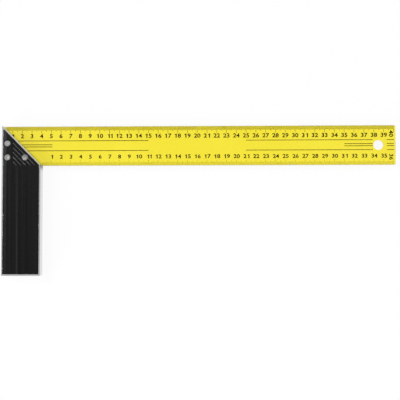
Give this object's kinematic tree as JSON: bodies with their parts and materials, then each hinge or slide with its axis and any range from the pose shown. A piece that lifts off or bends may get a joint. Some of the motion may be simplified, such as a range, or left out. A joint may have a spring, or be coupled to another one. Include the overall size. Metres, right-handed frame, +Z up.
{
  "type": "carpenter square",
  "caption": "Carpenter square with a flat ruled steel blade riveted at a right angle into the slot of a mitred stock, for checking and marking square edges.",
  "frame": {"origin": "inner corner of the square, where the stock's inner side meets the blade's lower edge and the inner scale starts, on the plane that the stock lies on", "axes": "+X along the blade towards its free end, -Y down the stock towards its square end, +Z up out of the blade's ruled face"},
  "size_m": [0.402, 0.153, 0.016],
  "materials": {
    "lacquered_steel": "satin lacquer",
    "coated_aluminium": "matt black coating, bare where it is cut",
    "rivet_metal": "bare, closed flush"
  },
  "bodies": {
    "root": {"blade": "lacquered_steel", "stock": "coated_aluminium", "rivet_outer_upper": "rivet_metal", "rivet_outer_lower": "rivet_metal", "rivet_inner_lower": "rivet_metal"}
  },
  "joints": []
}
